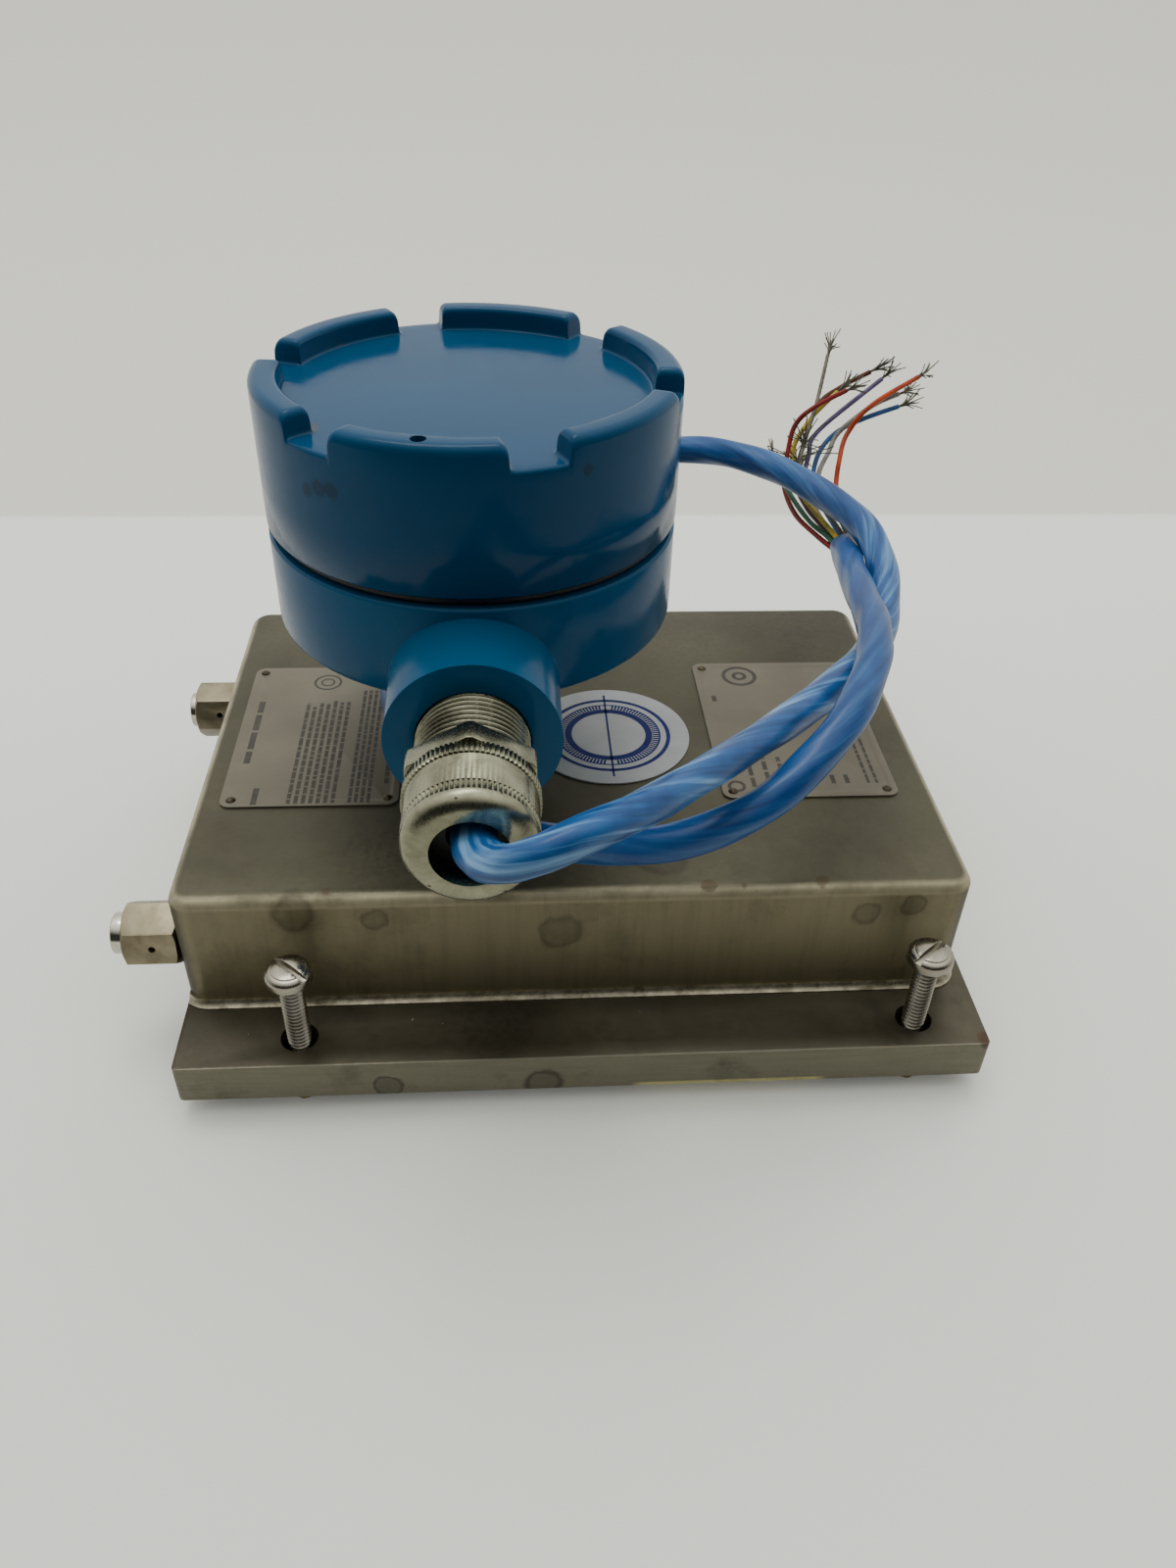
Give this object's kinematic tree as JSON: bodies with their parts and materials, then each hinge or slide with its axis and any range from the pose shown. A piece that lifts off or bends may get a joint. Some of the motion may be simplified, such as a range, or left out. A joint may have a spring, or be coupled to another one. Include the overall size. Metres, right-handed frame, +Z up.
{
  "type": "coriolis flow meter",
  "caption": "Flow meter sensor in a flat steel case on a plate, with a round screw-cover junction box, side fittings, gland and coiled cable.",
  "frame": {"origin": "centre of the mounting plate's outline at the level of the foot nuts' seats", "axes": "+X to the right, away from the process fittings; +Y away from the gland; +Z up out of the plate"},
  "size_m": [0.2539, 0.2595, 0.1629],
  "materials": {
    "plate_steel": "pickled, satin, water stained",
    "case_steel": "pickled, satin, brighter on the bends",
    "weld_steel": "brushed weld bead",
    "fitting_steel": "satin",
    "polished_steel": "polished sealing face",
    "screw_steel": "bright",
    "nut_zinc": "yellow zinc",
    "nameplate_metal": "matt printed",
    "rivet_metal": "dull",
    "badge_face": "printed, satin",
    "tube_steel": "drawn",
    "coil_winding": "wound and varnished",
    "magnet_alloy": "ground",
    "sensor_ceramic": "glazed",
    "glass_seal": "fused",
    "blue_enamel": "gloss enamel",
    "terminal_plastic": "moulded",
    "green_screw": "green zinc",
    "gland_zinc": "zinc plated, worn",
    "black_rubber": "matt",
    "cable_jacket": "glossy, pressed over the twist",
    "wire_red": "glossy",
    "wire_brown": "glossy",
    "wire_yellow": "glossy",
    "wire_violet": "glossy",
    "wire_blue": "glossy",
    "wire_orange": "glossy",
    "wire_white": "glossy",
    "wire_green": "glossy",
    "wire_drain": "tinned copper"
  },
  "bodies": {
    "meter": {"mounting_plate": "plate_steel", "foot_nuts": "nut_zinc", "mounting_screws": "screw_steel", "case_shell": "case_steel", "case_weld": "weld_steel", "left_nameplate": "nameplate_metal", "right_nameplate": "nameplate_metal", "nameplate_rivets": "rivet_metal", "round_badge": "badge_face", "inlet_fitting": "polished_steel", "outlet_fitting": "polished_steel", "inlet_manifold": "tube_steel", "outlet_manifold": "tube_steel", "lower_flow_tube": "tube_steel", "upper_flow_tube": "tube_steel", "inlet_brace": "tube_steel", "outlet_brace": "tube_steel", "drive_coil": "coil_winding", "drive_magnet": "magnet_alloy", "inlet_pickoff_coil": "coil_winding", "inlet_pickoff_magnet": "magnet_alloy", "outlet_pickoff_coil": "coil_winding", "outlet_pickoff_magnet": "magnet_alloy", "temperature_sensor": "sensor_ceramic", "feedthrough": "glass_seal", "neck": "blue_enamel", "junction_box": "blue_enamel", "terminal_block": "terminal_plastic", "terminal_screws": "screw_steel", "block_screws": "screw_steel", "ground_screw": "green_screw", "gland_body": "gland_zinc", "gland_cap": "gland_zinc", "gland_bush": "black_rubber", "cable": "cable_jacket", "wire_red": "wire_red", "wire_brown": "wire_brown", "wire_yellow": "wire_yellow", "wire_violet": "wire_violet", "wire_blue": "wire_blue", "wire_orange": "wire_orange", "wire_white": "wire_white", "wire_green": "wire_green", "wire_drain": "wire_drain"},
    "cover_ring": {"cover_seal": "black_rubber"},
    "cover": {"screw_cover": "blue_enamel"},
    "inlet_swivel": {"inlet_nut": "fitting_steel"},
    "outlet_swivel": {"outlet_nut": "fitting_steel"}
  },
  "joints": [
    {"name": "cover_lift", "type": "slide", "parent": "meter", "child": "cover_ring", "axis": [0, 0, 1], "range_m": [0, 0.0095]},
    {"name": "cover_turn", "type": "hinge", "parent": "cover_ring", "child": "cover", "pos_m": [-0.0275, 0, 0.125], "axis": [0, 0, 1], "range_deg": [0, 1610]},
    {"name": "inlet_nut_turn", "type": "hinge", "parent": "meter", "child": "inlet_swivel", "pos_m": [-0.10555, -0.0612, 0.0335], "axis": [-1, 0, 0], "continuous": true},
    {"name": "outlet_nut_turn", "type": "hinge", "parent": "meter", "child": "outlet_swivel", "pos_m": [-0.10555, 0.0436, 0.0335], "axis": [-1, 0, 0], "continuous": true}
  ],
  "couplings": [
    {"joint": "cover_lift", "follows": "cover_turn", "m_per_rad": 0.00033688}
  ]
}
